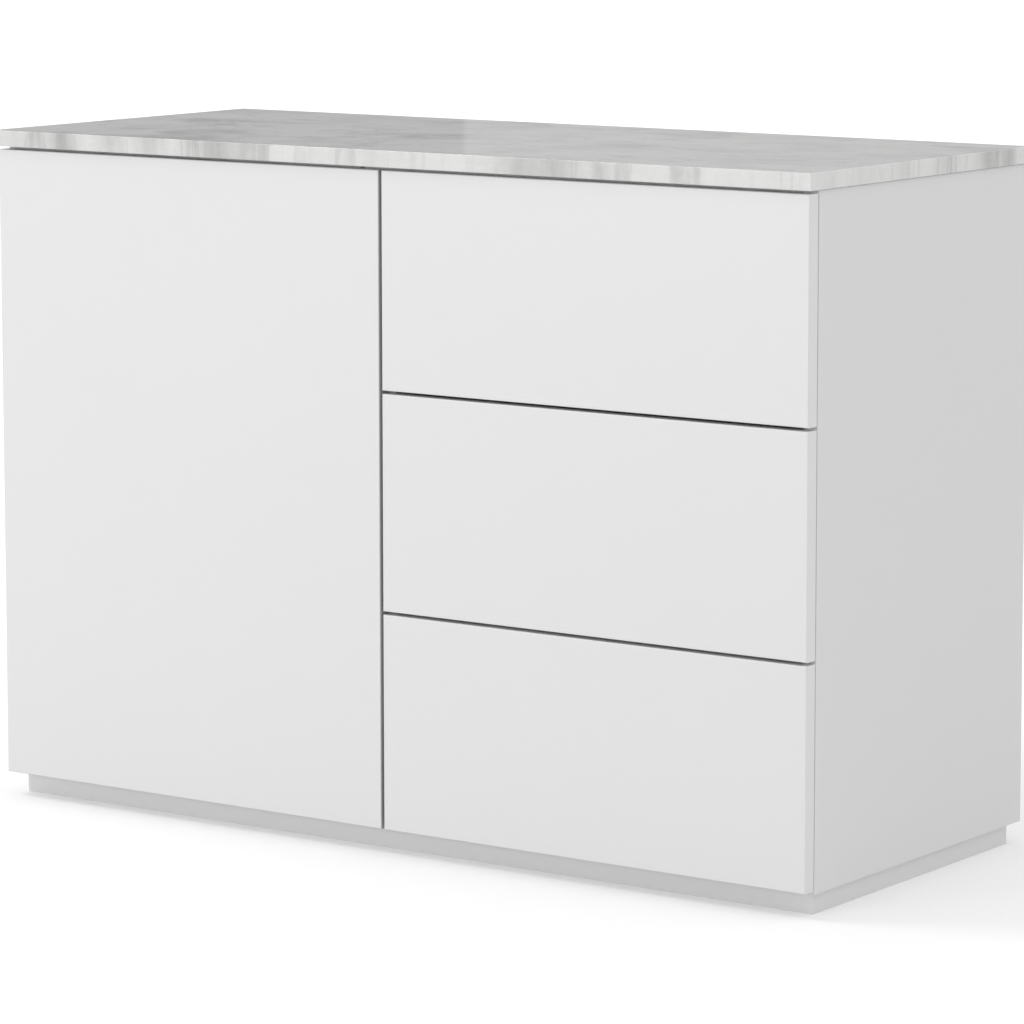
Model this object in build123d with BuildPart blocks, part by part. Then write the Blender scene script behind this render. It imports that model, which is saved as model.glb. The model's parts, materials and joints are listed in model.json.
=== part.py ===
from build123d import *
from math import atan2, degrees, hypot
import os

# A sideboard with one hinged door and three drawers under a stone slab.
# Millimetres. +Z is up, the fronts face -Y, and the origin lies on the floor under the middle of the slab.

os.makedirs("parts", exist_ok=True)

# Overall sizes
top_width = 1200.0
top_depth = 500.0
top_thickness = 20.0
body_height = 800.0
plinth_height = 26.0

# Boards
board_thickness = 18.0
front_thickness = 18.0
back_thickness = 5.0
drawer_board = 15.0
drawer_bottom_thickness = 6.0
plinth_board = 18.0

# Overhangs, insets and gaps
side_overhang = 4.5
front_overhang = 5.0
front_gap = 4.0
buffer_gap = 2.0
plinth_side_inset = 8.0
plinth_front_inset = 10.0
plinth_back_inset = 20.0
back_inset = 12.0
groove_depth = 8.0
groove_play = 0.5
slab_edge_radius = 0.8
front_edge_radius = 1.5
panel_edge_radius = 0.8
bore_play = 0.05
end_play = 0.5

# Corner fittings: cams with bolts, dowels and divider screws
fitting_front_inset = 65.0
fitting_back_inset = 80.0
dowel_offset = 32.0
cam_radius = 7.5
cam_depth = 12.5
cam_reach = 34.0
cam_slot_length = 9.0
cam_slot_width = 1.6
bolt_radius = 3.0
bolt_channel_radius = 4.0
bolt_thread_radius = 2.5
bolt_thread_length = 11.0
dowel_radius = 4.0
dowel_in_face = 12.0
dowel_in_edge = 23.0
divider_screw_radius = 3.5
divider_screw_thread_radius = 2.5
divider_screw_head_radius = 5.0
divider_screw_head = 3.2
divider_screw_grip = 32.0

# Plinth brackets
bracket_leg = 18.0
bracket_width = 30.0
bracket_sheet = 2.0
bracket_end_inset = 120.0

# Shelf and its pins
shelf_play = 1.0
shelf_setback = 10.0
shelf_back_gap = 3.0
pin_radius = 2.45
pin_hole_radius = 2.5
pin_hole_depth = 12.0
pin_shank = 10.0
pin_reach = 9.0
pin_flat = 1.8
pin_collar_radius = 4.0
pin_collar = 0.8
pin_pitch = 32.0
pin_rows_each_way = 2
pin_column_inset = 60.0

# Euro screws in the carcass
euro_radius = 3.1
euro_length = 13.0
euro_head_radius = 4.2
euro_head = 1.6
euro_bore_depth = 12.5
system_line = 37.0

# Concealed hinges
hinge_end_inset = 100.0
cup_radius = 17.5
cup_depth = 11.5
cup_wall = 1.0
cup_floor = 0.7
cup_edge_distance = 22.5
flange_radius = 18.0
flange_thickness = 1.0
wing_half_length = 30.0
wing_width = 14.0
wing_shift = 6.0
cup_screw_half_spacing = 24.0
cup_screw_radius = 1.75
cup_screw_length = 13.0
cup_screw_head_radius = 3.3
cup_screw_head = 1.1
fixed_pivot_from_cup = 8.2
fixed_pivot_depth = 7.5
moving_pivot_from_cup = -9.2
moving_pivot_depth = 3.0
hinge_pin_radius = 1.25
link_eye_radius = 2.6
link_half_bar = 1.8
link_half_width = 6.5
cheek_gap = 0.2
cheek_thickness = 1.6
nose_radius = 3.0
arm_start = 3.0
arm_turn = 3.0
arm_length = 72.0
arm_web_reach = 1.0
arm_web = 1.2
arm_lift = 3.7
lug_start = 8.6
lug_thickness = 1.6
lug_half_width = 3.0
plate_sheet = 2.0
plate_half_height = 26.0
plate_half_width = 7.0
plate_screw_half_spacing = 16.0
rail_start = 12.0
rail_length = 58.0
rail_half_width = 6.4
rail_foot_half_width = 9.0

# Push latches in the front edges
latch_bore_depth = 46.0
latch_radius = 5.0
latch_length = 45.0
latch_collar_radius = 6.5
latch_collar = 0.8
latch_well_radius = 3.55
latch_well_depth = 42.5
plunger_radius = 3.5
plunger_length = 40.0
plunger_gap = 0.1
door_latch_inset = 40.0
strike_length = 24.0
strike_height = 7.6
strike_thickness = 0.5

# Drawers
drawer_count = 3
box_lift = 30.0
box_drop = 40.0
drawer_bottom_rise = 12.0
drawer_groove_depth = 6.0
front_screw_radius = 1.75
front_screw_bite = 13.0
front_screw_head_radius = 3.5
front_screw_head = 2.0
front_screw_inset = 45.0
drawer_back_gap = 40.0

# Telescopic slides
slide_thickness = 12.7
slide_sheet = 1.2
slide_rise = 45.0
slide_back_gap = 58.0
slide_front_setback = 1.0
outer_half_height = 22.5
outer_flange_reach = 9.5
middle_half_height = 17.5
middle_web_offset = 3.5
middle_flange_reach = 10.6
inner_half_height = 12.5
inner_flange_offset = 6.0
slide_screw_spacing = 224.0

# Faces that the pieces share
slab_front = -top_depth / 2
carcass_back = top_depth / 2
slab_bottom = plinth_height + body_height
side_outer = top_width / 2 - side_overhang
side_inner = side_outer - board_thickness
side_middle = side_outer - board_thickness / 2
front_face = slab_front + front_overhang
front_back = front_face + front_thickness
carcass_front = front_back + buffer_gap
back_rear = carcass_back - back_inset
back_front = back_rear - back_thickness
floor_top = plinth_height + board_thickness
floor_middle = plinth_height + board_thickness / 2
ceiling = slab_bottom - board_thickness
ceiling_middle = slab_bottom - board_thickness / 2
divider_face = board_thickness / 2
fronts_bottom = plinth_height + front_gap
fronts_top = slab_bottom - front_gap
fitting_lines = (carcass_front + fitting_front_inset, carcass_back - fitting_back_inset)
dowel_lines = (fitting_lines[0] + dowel_offset, fitting_lines[1] - dowel_offset)

RIGHT = (1, 0, 0)
LEFT = (-1, 0, 0)
BACK = (0, 1, 0)
UP = (0, 0, 1)
DOWN = (0, 0, -1)
INTO = (Align.CENTER, Align.CENTER, Align.MAX)
OUT = (Align.CENTER, Align.CENTER, Align.MIN)


def block(x, y, z, mode=Mode.ADD):
    """A box between two limits on each axis."""
    with Locations(((x[0] + x[1]) / 2, (y[0] + y[1]) / 2, (z[0] + z[1]) / 2)):
        Box(abs(x[1] - x[0]), abs(y[1] - y[0]), abs(z[1] - z[0]), mode=mode)


def facing(points, normal):
    """A place at each point whose local Z leaves the surface."""
    return [Plane(origin=point, z_dir=normal).location for point in points]


def drill(places, radius, depth, align=INTO):
    """A blind round hole at each surface place, into the surface or along its normal."""
    with Locations(*places):
        Cylinder(radius, depth, align=align, mode=Mode.SUBTRACT)


def rod(places, radius, length, align=INTO):
    """A round rod at each surface place, into the surface or out of it."""
    with Locations(*places):
        Cylinder(radius, length, align=align)


def joint_places(lines, height):
    """Where a horizontal board's ends meet the side panels, facing into the board."""
    left = facing([(-side_inner, y, height) for y in lines], RIGHT)
    right = facing([(side_inner, y, height) for y in lines], LEFT)
    return left + right


def cam_places(height, normal):
    """Where the cams sit in a horizontal board's broad face."""
    reach = side_inner - cam_reach
    return facing([(x, y, height) for x in (-reach, reach) for y in fitting_lines], normal)


def divider_places(lines, height, normal):
    """Where the divider's ends meet the boards above and below it."""
    return facing([(0, y, height) for y in lines], normal)


def side_joint_bores(places_z, face_x, normal):
    """Bolt and dowel holes in a side panel's inner face, at the height of each board."""
    bolts = facing([(face_x, y, z) for z in places_z for y in fitting_lines], normal)
    dowels = facing([(face_x, y, z) for z in places_z for y in dowel_lines], normal)
    drill(bolts, bolt_thread_radius + bore_play, bolt_thread_length + end_play)
    drill(dowels, dowel_radius + bore_play, dowel_in_face + end_play)


def board_joint_bores(height, cam_face, cam_normal, divider_plane, divider_normal):
    """Cam, bolt, dowel and divider-screw holes in the floor or the top board."""
    drill(joint_places(fitting_lines, height), bolt_channel_radius, cam_reach, OUT)
    drill(cam_places(cam_face, cam_normal), cam_radius + bore_play, cam_depth)
    drill(joint_places(dowel_lines, height), dowel_radius + bore_play, dowel_in_edge + end_play, OUT)
    screws = divider_places(fitting_lines, cam_face, cam_normal)
    drill(screws, divider_screw_radius + bore_play, board_thickness)
    drill(screws, divider_screw_head_radius + bore_play, divider_screw_head)
    dowels = divider_places(dowel_lines, divider_plane, divider_normal)
    drill(dowels, dowel_radius + bore_play, dowel_in_face + end_play)


def back_groove(x, z):
    """The groove that holds the back panel."""
    block(x, (back_front, back_rear), z, mode=Mode.SUBTRACT)


# Stone slab
with BuildPart() as top_slab:
    with BuildSketch(Plane.XY.offset(slab_bottom)):
        Rectangle(top_width, top_depth)
    extrude(amount=top_thickness)
    fillet(top_slab.edges(), slab_edge_radius)
top_slab.part.label = "top_slab"
export_step(top_slab.part, "parts/top_slab.step")

# Places of the fittings that the side panels and the divider carry
hinge_heights = (fronts_bottom + hinge_end_inset, fronts_top - hinge_end_inset)
hinge_line = carcass_front + system_line
plate_screw_shifts = (-plate_screw_half_spacing, plate_screw_half_spacing)
hinge_screw_heights = [h + shift for h in hinge_heights for shift in plate_screw_shifts]
pin_middle = (floor_top + ceiling) / 2
pin_heights = [pin_middle + n * pin_pitch for n in range(-pin_rows_each_way, pin_rows_each_way + 1)]
pin_columns = (carcass_front + pin_column_inset, back_front - pin_column_inset)
front_height = (fronts_top - fronts_bottom - (drawer_count - 1) * front_gap) / drawer_count
drawer_fronts_bottom = [fronts_bottom + n * (front_height + front_gap) for n in range(drawer_count)]
box_height = front_height - box_lift - box_drop
slide_heights = [z + box_lift + slide_rise for z in drawer_fronts_bottom]
slide_screw_lines = (carcass_front + system_line, carcass_front + system_line + slide_screw_spacing)
drawer_latch_heights = [z + front_height / 2 for z in drawer_fronts_bottom]
drawer_latch_points = [(side_middle, carcass_front, z) for z in drawer_latch_heights]
door_latch_point = (-door_latch_inset, carcass_front, ceiling_middle)

# Left side panel, which carries the hinges and one side of the shelf
with BuildPart() as side_panel_left:
    block((-side_outer, -side_inner), (carcass_front, carcass_back), (plinth_height, slab_bottom))
    fillet(side_panel_left.faces().sort_by(Axis.X)[0].edges().filter_by(Axis.Z), panel_edge_radius)
    back_groove((-side_inner - groove_depth, -side_inner), (plinth_height, slab_bottom))
    side_joint_bores((floor_middle, ceiling_middle), -side_inner, RIGHT)
    drill(
        facing([(-side_inner, y, z) for y in pin_columns for z in pin_heights], RIGHT),
        pin_hole_radius,
        pin_hole_depth,
    )
    drill(
        facing([(-side_inner, hinge_line, z) for z in hinge_screw_heights], RIGHT),
        euro_radius + bore_play,
        euro_bore_depth,
    )
side_panel_left.part.label = "side_panel_left"
export_step(side_panel_left.part, "parts/side_panel_left.step")

# Right side panel, which carries slides and the drawers' push latches
with BuildPart() as side_panel_right:
    block((side_inner, side_outer), (carcass_front, carcass_back), (plinth_height, slab_bottom))
    fillet(side_panel_right.faces().sort_by(Axis.X)[-1].edges().filter_by(Axis.Z), panel_edge_radius)
    back_groove((side_inner, side_inner + groove_depth), (plinth_height, slab_bottom))
    side_joint_bores((floor_middle, ceiling_middle), side_inner, LEFT)
    drill(
        facing([(side_inner, y, z) for y in slide_screw_lines for z in slide_heights], LEFT),
        euro_radius + bore_play,
        euro_bore_depth,
    )
    drill(facing(drawer_latch_points, BACK), latch_radius + bore_play, latch_bore_depth, OUT)
side_panel_right.part.label = "side_panel_right"
export_step(side_panel_right.part, "parts/side_panel_right.step")

# Floor and top boards between the side panels
with BuildPart() as bottom_panel:
    block((-side_inner, side_inner), (carcass_front, carcass_back), (plinth_height, floor_top))
    back_groove((-side_inner, side_inner), (floor_top - groove_depth, floor_top))
    board_joint_bores(floor_middle, plinth_height, DOWN, floor_top, UP)
bottom_panel.part.label = "bottom_panel"
export_step(bottom_panel.part, "parts/bottom_panel.step")

with BuildPart() as carcass_top:
    block((-side_inner, side_inner), (carcass_front, carcass_back), (ceiling, slab_bottom))
    back_groove((-side_inner, side_inner), (ceiling, ceiling + groove_depth))
    board_joint_bores(ceiling_middle, slab_bottom, UP, ceiling, DOWN)
    drill(facing([door_latch_point], BACK), latch_radius + bore_play, latch_bore_depth, OUT)
carcass_top.part.label = "carcass_top"
export_step(carcass_top.part, "parts/carcass_top.step")

# Divider between the cupboard and the drawers
with BuildPart() as centre_divider:
    block((-divider_face, divider_face), (carcass_front, back_front), (floor_top, ceiling))
    for height, normal in ((floor_top, DOWN), (ceiling, UP)):
        screws = divider_places(fitting_lines, height, normal)
        drill(screws, divider_screw_thread_radius + bore_play, divider_screw_grip + end_play)
        drill(divider_places(dowel_lines, height, normal), dowel_radius + bore_play, dowel_in_edge + end_play)
    drill(
        facing([(-divider_face, y, z) for y in pin_columns for z in pin_heights], LEFT),
        pin_hole_radius,
        pin_hole_depth,
    )
    drill(
        facing([(divider_face, y, z) for y in slide_screw_lines for z in slide_heights], RIGHT),
        euro_radius + bore_play,
        euro_bore_depth,
    )
centre_divider.part.label = "centre_divider"
export_step(centre_divider.part, "parts/centre_divider.step")

# Back panel, held in the grooves
with BuildPart() as back_panel:
    reach = groove_depth - groove_play
    back_x = (-side_inner - reach, side_inner + reach)
    block(back_x, (back_front, back_rear), (floor_top - reach, ceiling + reach))
back_panel.part.label = "back_panel"
export_step(back_panel.part, "parts/back_panel.step")

# Plinth frame
plinth_side = side_outer - plinth_side_inset
plinth_front_face = carcass_front + plinth_front_inset
plinth_back_face = carcass_back - plinth_back_inset
plinth_inner_front = plinth_front_face + plinth_board
plinth_inner_back = plinth_back_face - plinth_board
plinth_inner_side = plinth_side - plinth_board

with BuildPart() as plinth_front:
    block((-plinth_side, plinth_side), (plinth_front_face, plinth_inner_front), (0, plinth_height))
plinth_front.part.label = "plinth_front"
export_step(plinth_front.part, "parts/plinth_front.step")

with BuildPart() as plinth_back:
    block((-plinth_side, plinth_side), (plinth_inner_back, plinth_back_face), (0, plinth_height))
plinth_back.part.label = "plinth_back"
export_step(plinth_back.part, "parts/plinth_back.step")

with BuildPart() as plinth_left:
    block((-plinth_side, -plinth_inner_side), (plinth_inner_front, plinth_inner_back), (0, plinth_height))
plinth_left.part.label = "plinth_left"
export_step(plinth_left.part, "parts/plinth_left.step")

with BuildPart() as plinth_right:
    block((plinth_inner_side, plinth_side), (plinth_inner_front, plinth_inner_back), (0, plinth_height))
plinth_right.part.label = "plinth_right"
export_step(plinth_right.part, "parts/plinth_right.step")

# Angle brackets between the plinth and the floor board: each corner lies where the two meet
bracket_x = plinth_inner_side - bracket_end_inset
bracket_y = (plinth_inner_front + plinth_inner_back) / 2
bracket_places = [
    Location((-bracket_x, plinth_inner_front, plinth_height), (0, 0, 0)),
    Location((bracket_x, plinth_inner_front, plinth_height), (0, 0, 0)),
    Location((-bracket_x, plinth_inner_back, plinth_height), (0, 0, 180)),
    Location((bracket_x, plinth_inner_back, plinth_height), (0, 0, 180)),
    Location((-plinth_inner_side, bracket_y, plinth_height), (0, 0, -90)),
    Location((plinth_inner_side, bracket_y, plinth_height), (0, 0, 90)),
]
with BuildPart() as plinth_brackets:
    with Locations(*bracket_places):
        Box(bracket_width, bracket_sheet, bracket_leg, align=(Align.CENTER, Align.MIN, Align.MAX))
        Box(bracket_width, bracket_leg, bracket_sheet, align=(Align.CENTER, Align.MIN, Align.MAX))
plinth_brackets.part.label = "plinth_brackets"
export_step(plinth_brackets.part, "parts/plinth_brackets.step")

# Shelf on four pins
shelf_bottom = pin_middle + pin_flat
with BuildPart() as shelf:
    block(
        (-side_inner + shelf_play, -divider_face - shelf_play),
        (carcass_front + shelf_setback, back_front - shelf_back_gap),
        (shelf_bottom, shelf_bottom + board_thickness),
    )
    fillet(shelf.faces().sort_by(Axis.Y)[0].edges().filter_by(Axis.X), panel_edge_radius)
shelf.part.label = "shelf"
export_step(shelf.part, "parts/shelf.step")

with BuildPart() as shelf_pins:
    places = facing([(-side_inner, y, pin_middle) for y in pin_columns], RIGHT)
    places += facing([(-divider_face, y, pin_middle) for y in pin_columns], LEFT)
    rod(places, pin_radius, pin_shank)
    rod(places, pin_radius, pin_reach, align=OUT)
    rod(places, pin_collar_radius, pin_collar, align=OUT)
    shelf_ends = (-side_inner + shelf_play, -divider_face - shelf_play)
    for y in pin_columns:
        limits = (y - pin_collar_radius, y + pin_collar_radius)
        block(shelf_ends, limits, (shelf_bottom, shelf_bottom + pin_collar_radius), mode=Mode.SUBTRACT)
shelf_pins.part.label = "shelf_pins"
export_step(shelf_pins.part, "parts/shelf_pins.step")

# Cams, their bolts, the dowels and the divider's screws
board_joints = ((floor_middle, plinth_height, DOWN), (ceiling_middle, slab_bottom, UP))
with BuildPart() as cam_locks:
    for height, face, normal in board_joints:
        seats = cam_places(face, normal)
        rod(seats, cam_radius, cam_depth)
        drill(joint_places(fitting_lines, height), bolt_radius + bore_play, cam_reach, OUT)
        with Locations(*seats):
            Box(cam_slot_length, cam_slot_width, 2 * cam_slot_width, mode=Mode.SUBTRACT)
            Box(cam_slot_width, cam_slot_length, 2 * cam_slot_width, mode=Mode.SUBTRACT)
cam_locks.part.label = "cam_locks"
export_step(cam_locks.part, "parts/cam_locks.step")

with BuildPart() as cam_bolts:
    for height, _, _ in board_joints:
        rod(joint_places(fitting_lines, height), bolt_radius, cam_reach - end_play, OUT)
        rod(joint_places(fitting_lines, height), bolt_thread_radius, bolt_thread_length)
cam_bolts.part.label = "cam_bolts"
export_step(cam_bolts.part, "parts/cam_bolts.step")

with BuildPart() as dowels:
    for height, _, _ in board_joints:
        rod(joint_places(dowel_lines, height), dowel_radius, dowel_in_edge, OUT)
        rod(joint_places(dowel_lines, height), dowel_radius, dowel_in_face)
    for height, normal in ((floor_top, UP), (ceiling, DOWN)):
        rod(divider_places(dowel_lines, height, normal), dowel_radius, dowel_in_edge, OUT)
        rod(divider_places(dowel_lines, height, normal), dowel_radius, dowel_in_face)
dowels.part.label = "dowels"
export_step(dowels.part, "parts/dowels.step")

with BuildPart() as divider_screws:
    for face, normal in ((plinth_height, DOWN), (slab_bottom, UP)):
        places = divider_places(fitting_lines, face, normal)
        rod(places, divider_screw_head_radius, divider_screw_head)
        rod(places, divider_screw_radius, board_thickness)
        rod(places, divider_screw_thread_radius, board_thickness + divider_screw_grip)
divider_screws.part.label = "divider_screws"
export_step(divider_screws.part, "parts/divider_screws.step")

# Hinge geometry, seen from above: both pivots lie inside the closed cup
door_edge = -side_outer
cup_x = door_edge + cup_edge_distance
fixed_pivot = (cup_x + fixed_pivot_from_cup, front_back - fixed_pivot_depth)
moving_pivot = (cup_x + moving_pivot_from_cup, front_back - moving_pivot_depth)
pivot_step = (moving_pivot[0] - fixed_pivot[0], moving_pivot[1] - fixed_pivot[1])
link_length = hypot(*pivot_step)
link_angle = degrees(atan2(pivot_step[1], pivot_step[0]))
link_middle = ((fixed_pivot[0] + moving_pivot[0]) / 2, (fixed_pivot[1] + moving_pivot[1]) / 2)
cheek_start = link_half_width + cheek_gap
cheek_end = cheek_start + cheek_thickness
arm_web_front = fixed_pivot[0] + arm_web_reach
arm_web_back = arm_web_front - arm_web
plate_face = -side_inner + plate_sheet
cup_screw_x = cup_x + wing_shift
cup_screw_points = [
    (cup_screw_x, front_back, h + s)
    for h in hinge_heights
    for s in (-cup_screw_half_spacing, cup_screw_half_spacing)
]

# Door
door_right = -front_gap / 2
with BuildPart() as door_panel:
    with BuildSketch(Plane.XZ.offset(-front_back)):
        with Locations(((door_edge + door_right) / 2, (fronts_bottom + fronts_top) / 2)):
            Rectangle(door_right - door_edge, fronts_top - fronts_bottom)
    extrude(amount=front_thickness)
    fillet(door_panel.faces().sort_by(Axis.Y)[0].edges(), front_edge_radius)
    drill(facing([(cup_x, front_back, h) for h in hinge_heights], BACK), cup_radius + bore_play, cup_depth)
    drill(facing(cup_screw_points, BACK), cup_screw_radius + bore_play, cup_screw_length)
door_panel.part.label = "door_panel"
export_step(door_panel.part, "parts/door_panel.step")

with BuildPart() as hinge_cups:
    seats = facing([(cup_x, front_back, h) for h in hinge_heights], BACK)
    rims = facing([(cup_x, front_back + flange_thickness, h) for h in hinge_heights], BACK)
    rod(seats, cup_radius, cup_depth)
    rod(rims, flange_radius, flange_thickness)
    wing_x = (cup_screw_x - wing_width / 2, cup_screw_x + wing_width / 2)
    wing_y = (front_back, front_back + flange_thickness)
    for h in hinge_heights:
        block(wing_x, wing_y, (h - wing_half_length, h + wing_half_length))
    drill(rims, cup_radius - cup_wall, flange_thickness + cup_depth - cup_floor)
    lug_x = (moving_pivot[0] - lug_half_width, moving_pivot[0] + lug_half_width)
    lug_y = (front_back - cup_depth, moving_pivot[1] + lug_half_width)
    for h in hinge_heights:
        for side in (-1, 1):
            block(lug_x, lug_y, (h + side * lug_start, h + side * (lug_start + lug_thickness)))
    lug_end = lug_start + lug_thickness
    pins = facing([(*moving_pivot, h + lug_end) for h in hinge_heights], UP)
    drill(pins, hinge_pin_radius + bore_play, 2 * lug_end)
    drill(facing(cup_screw_points, BACK), cup_screw_radius + bore_play, flange_thickness, OUT)
hinge_cups.part.label = "hinge_cups"
export_step(hinge_cups.part, "parts/hinge_cups.step")

with BuildPart() as hinge_cup_screws:
    heads = [(x, y + flange_thickness, z) for x, y, z in cup_screw_points]
    rod(facing(heads, BACK), cup_screw_radius, cup_screw_length)
    rod(facing(heads, BACK), cup_screw_head_radius, cup_screw_head, OUT)
hinge_cup_screws.part.label = "hinge_cup_screws"
export_step(hinge_cup_screws.part, "parts/hinge_cup_screws.step")

# Links, which turn on the arms and carry the cups
with BuildPart() as hinge_links:
    for h in hinge_heights:
        with BuildSketch(Plane.XY.offset(h - link_half_width)):
            with Locations(fixed_pivot, moving_pivot):
                Circle(link_eye_radius)
            with Locations(link_middle):
                Rectangle(link_length, 2 * link_half_bar, rotation=link_angle)
            with Locations(fixed_pivot, moving_pivot):
                Circle(hinge_pin_radius, mode=Mode.SUBTRACT)
        extrude(amount=2 * link_half_width)
hinge_links.part.label = "hinge_links"
export_step(hinge_links.part, "parts/hinge_links.step")

with BuildPart() as hinge_pins:
    for h in hinge_heights:
        rod(facing([(*fixed_pivot, h + cheek_end)], UP), hinge_pin_radius, 2 * cheek_end)
        rod(facing([(*moving_pivot, h + lug_end)], UP), hinge_pin_radius, 2 * lug_end)
hinge_pins.part.label = "hinge_pins"
export_step(hinge_pins.part, "parts/hinge_pins.step")

# Arms, folded from sheet: two cheeks and a web, with a nose that reaches into the cup
arm_front = front_back + arm_start
arm_end = arm_front + arm_length
arm_foot = -side_inner + arm_lift
nose_left = fixed_pivot[0] - nose_radius
nose_right = fixed_pivot[0] + nose_radius
with BuildPart() as hinge_arms:
    for h in hinge_heights:
        for low in (h - cheek_end, h + cheek_start):
            with BuildSketch(Plane.XY.offset(low)):
                with Locations(fixed_pivot):
                    Circle(nose_radius)
                with BuildLine():
                    Polyline(
                        (nose_left, fixed_pivot[1]),
                        (nose_right, fixed_pivot[1]),
                        (nose_right, arm_front),
                        (arm_web_front, arm_front + arm_turn),
                        (arm_web_front, arm_end),
                        (arm_foot, arm_end),
                        (arm_foot, arm_front),
                        (nose_left, arm_front),
                        close=True,
                    )
                make_face()
                with Locations(fixed_pivot):
                    Circle(hinge_pin_radius + bore_play, mode=Mode.SUBTRACT)
            extrude(amount=cheek_thickness)
        block((arm_web_back, arm_web_front), (arm_front + arm_turn, arm_end), (h - cheek_end, h + cheek_end))
hinge_arms.part.label = "hinge_arms"
export_step(hinge_arms.part, "parts/hinge_arms.step")

# Mounting plates: a cross wing under two screws, and the rail that the arm clips over
with BuildPart() as hinge_plates:
    for h in hinge_heights:
        wing_y = (hinge_line - plate_half_width, hinge_line + plate_half_width)
        rail_y = (front_back + rail_start, front_back + rail_start + rail_length)
        block((-side_inner, plate_face), wing_y, (h - plate_half_height, h + plate_half_height))
        block((-side_inner, plate_face), rail_y, (h - rail_foot_half_width, h + rail_foot_half_width))
        block((plate_face, arm_web_back), rail_y, (h - rail_half_width, h + rail_half_width))
    screws = facing([(plate_face, hinge_line, z) for z in hinge_screw_heights], RIGHT)
    drill(screws, euro_radius + bore_play, plate_sheet)
hinge_plates.part.label = "hinge_plates"
export_step(hinge_plates.part, "parts/hinge_plates.step")


def channel(wall, side, y, height, offsets, half_height, sheet):
    """A C-shaped slide member: a web at the first offset from the wall, flanges to the second."""
    web = offsets[0]
    tip = offsets[1]
    inward = 1 if tip > web else -1
    web_x = (wall + side * web, wall + side * (web + inward * sheet))
    block(web_x, y, (height - half_height, height + half_height))
    for low in (height - half_height, height + half_height - sheet):
        block((wall + side * web, wall + side * tip), y, (low, low + sheet))


# Telescopic slides: each wall carries a slide that opens towards the drawer
walls = ((divider_face, 1), (side_inner, -1))
slide_length = back_front - carcass_front - slide_back_gap
slide_front = carcass_front + slide_front_setback
slide_y = (slide_front, slide_front + slide_length)
with BuildPart() as slide_outer_members:
    for height in slide_heights:
        for wall, side in walls:
            channel(wall, side, slide_y, height, (0, outer_flange_reach), outer_half_height, slide_sheet)
            points = [(wall + side * slide_sheet, y, height) for y in slide_screw_lines]
            drill(facing(points, (side, 0, 0)), euro_radius + bore_play, slide_sheet)
slide_outer_members.part.label = "slide_outer_members"
export_step(slide_outer_members.part, "parts/slide_outer_members.step")

with BuildPart() as euro_screws:
    places = facing([(plate_face, hinge_line, z) for z in hinge_screw_heights], RIGHT)
    for wall, side in walls:
        points = [(wall + side * slide_sheet, y, z) for y in slide_screw_lines for z in slide_heights]
        places += facing(points, (side, 0, 0))
    rod(places, euro_radius, euro_length)
    rod(places, euro_head_radius, euro_head, OUT)
euro_screws.part.label = "euro_screws"
export_step(euro_screws.part, "parts/euro_screws.step")

# Push latches: housings in the front edges, and a plunger in each
latch_points = [door_latch_point] + drawer_latch_points
with BuildPart() as latch_housings:
    rod(facing(latch_points, BACK), latch_radius, latch_length, OUT)
    rod(facing(latch_points, BACK), latch_collar_radius, latch_collar)
    mouths = facing([(x, y - latch_collar, z) for x, y, z in latch_points], BACK)
    drill(mouths, latch_well_radius, latch_well_depth, OUT)
latch_housings.part.label = "latch_housings"
export_step(latch_housings.part, "parts/latch_housings.step")

plunger_tip = front_back + plunger_gap
with BuildPart() as latch_plunger_door:
    tips = facing([(door_latch_point[0], plunger_tip + strike_thickness, door_latch_point[2])], BACK)
    rod(tips, plunger_radius, plunger_length, OUT)
latch_plunger_door.part.label = "latch_plunger_door"
export_step(latch_plunger_door.part, "parts/latch_plunger_door.step")

with BuildPart() as door_strike:
    block(
        (-door_latch_inset - strike_length / 2, -door_latch_inset + strike_length / 2),
        (front_back, front_back + strike_thickness),
        (ceiling_middle - strike_height / 2, ceiling_middle + strike_height / 2),
    )
door_strike.part.label = "door_strike"
export_step(door_strike.part, "parts/door_strike.step")

# Drawers: boxes hung between the slides, with an applied front
box_left = divider_face + slide_thickness
box_right = side_inner - slide_thickness
box_inner_left = box_left + drawer_board
box_inner_right = box_right - drawer_board
box_back = back_front - drawer_back_gap
front_left = front_gap / 2
inner_front_back = front_back + drawer_board
inner_back_front = box_back - drawer_board
groove_end = drawer_groove_depth - groove_play
screw_columns = (box_inner_left + front_screw_inset, box_inner_right - front_screw_inset)

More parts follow.
